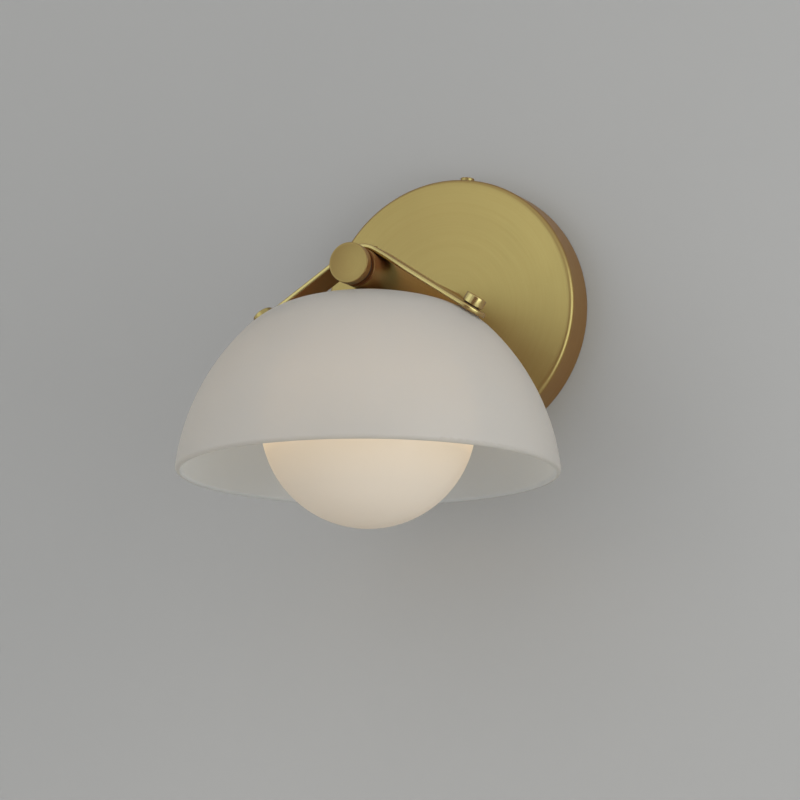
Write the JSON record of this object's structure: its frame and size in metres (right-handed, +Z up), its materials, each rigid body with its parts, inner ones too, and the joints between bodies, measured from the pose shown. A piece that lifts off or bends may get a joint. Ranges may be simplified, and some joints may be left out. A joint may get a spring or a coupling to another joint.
{
  "type": "arm wall sconce",
  "caption": "Wall sconce with a round canopy, a straight arm, an opal glass dome clamped under the arm by a bent strap, and a glass globe inside the dome.",
  "frame": {"origin": "centre of the wall bracket's back face, on the wall", "axes": "+X to the right of someone facing the wall, +Y into the wall, +Z up"},
  "size_m": [0.1804, 0.2037, 0.1889],
  "materials": {
    "brass": "brushed aged brass, lacquered",
    "zinc_steel": "zinc plated",
    "green_steel": "green dyed zinc",
    "block_plastic": "moulded",
    "ceramic": "unglazed white",
    "contact_metal": "nickel plated spring strip",
    "globe_glass": "white opal, satin",
    "dome_glass": "white opal, satin",
    "capsule_glass": "frosted",
    "clear_rubber": "milky silicone",
    "pad_rubber": "smoke-brown silicone",
    "dark_rubber": "dark fibre and rubber",
    "lead_black": "insulated wire",
    "lead_white": "insulated wire",
    "lead_green": "insulated wire"
  },
  "bodies": {
    "fixture": {"wall_bracket": "zinc_steel", "ground_screw": "green_steel", "terminal_block": "block_plastic", "terminal_screws": "zinc_steel", "canopy": "brass", "arm_nipple": "zinc_steel", "arm_nut": "zinc_steel", "arm_washer": "zinc_steel", "arm_tube": "brass", "arm_rear_plug": "brass", "arm_front_plug": "brass", "strap": "brass", "strap_screw": "brass", "hub": "brass", "hub_nipple": "zinc_steel", "hub_nut": "zinc_steel", "lamp_holder": "ceramic", "lamp_contacts": "contact_metal", "dome": "dome_glass", "dome_pads": "pad_rubber", "inner_washers": "pad_rubber", "clamp_nuts": "brass", "lead_live": "lead_black", "lead_neutral": "lead_white", "lead_ground": "lead_green"},
    "top_side_screw": {"side_screw_top": "brass"},
    "bottom_side_screw": {"side_screw_bottom": "brass"},
    "knob_ring": {"knob_neck": "dark_rubber"},
    "knob": {"end_knob": "brass"},
    "globe_ring": {"globe_gasket": "clear_rubber"},
    "globe": {"globe": "globe_glass"},
    "bulb": {"bulb_capsule": "capsule_glass", "bulb_base": "ceramic", "bulb_pins": "zinc_steel"},
    "left_washer": {"thumb_washer_left": "dark_rubber"},
    "left_thumb_screw": {"thumb_screw_left": "brass"},
    "right_washer": {"thumb_washer_right": "dark_rubber"},
    "right_thumb_screw": {"thumb_screw_right": "brass"}
  },
  "joints": [
    {"name": "top_side_screw_out", "type": "slide", "parent": "fixture", "child": "top_side_screw", "axis": [0.0872, 0, 0.9962], "range_m": [0, 0.004]},
    {"name": "bottom_side_screw_out", "type": "slide", "parent": "fixture", "child": "bottom_side_screw", "axis": [-0.0872, 0, -0.9962], "range_m": [0, 0.004]},
    {"name": "knob_out", "type": "slide", "parent": "fixture", "child": "knob_ring", "axis": [0, -1, 0], "range_m": [0, 0.007]},
    {"name": "knob_turn", "type": "hinge", "parent": "knob_ring", "child": "knob", "pos_m": [0, -0.133, 0], "axis": [0, -1, 0], "range_deg": [0, 2530]},
    {"name": "globe_down", "type": "slide", "parent": "fixture", "child": "globe_ring", "axis": [0, 0, -1], "range_m": [0, 0.0076]},
    {"name": "globe_turn", "type": "hinge", "parent": "globe_ring", "child": "globe", "pos_m": [0, -0.1135, -0.071], "axis": [0, 0, -1], "range_deg": [0, 1080]},
    {"name": "bulb_pull", "type": "slide", "parent": "fixture", "child": "bulb", "axis": [0, 0, -1], "range_m": [0, 0.0103]},
    {"name": "left_screw_out", "type": "slide", "parent": "fixture", "child": "left_washer", "axis": [-0.5519, 0, 0.8339], "range_m": [0, 0.0052]},
    {"name": "left_screw_turn", "type": "hinge", "parent": "left_washer", "child": "left_thumb_screw", "pos_m": [-0.05213, -0.1135, -0.01988], "axis": [-0.5519, 0, 0.8339], "range_deg": [0, 2350]},
    {"name": "right_screw_out", "type": "slide", "parent": "fixture", "child": "right_washer", "axis": [0.5519, 0, 0.8339], "range_m": [0, 0.0052]},
    {"name": "right_screw_turn", "type": "hinge", "parent": "right_washer", "child": "right_thumb_screw", "pos_m": [0.05213, -0.1135, -0.01988], "axis": [0.5519, 0, 0.8339], "range_deg": [0, 2350]}
  ],
  "couplings": [
    {"joint": "knob_turn", "follows": "knob_out", "rad_per_m": 6283.2},
    {"joint": "globe_down", "follows": "globe_turn", "m_per_rad": 0.00039789},
    {"joint": "left_screw_turn", "follows": "left_screw_out", "rad_per_m": 7854},
    {"joint": "right_screw_turn", "follows": "right_screw_out", "rad_per_m": 7854}
  ]
}
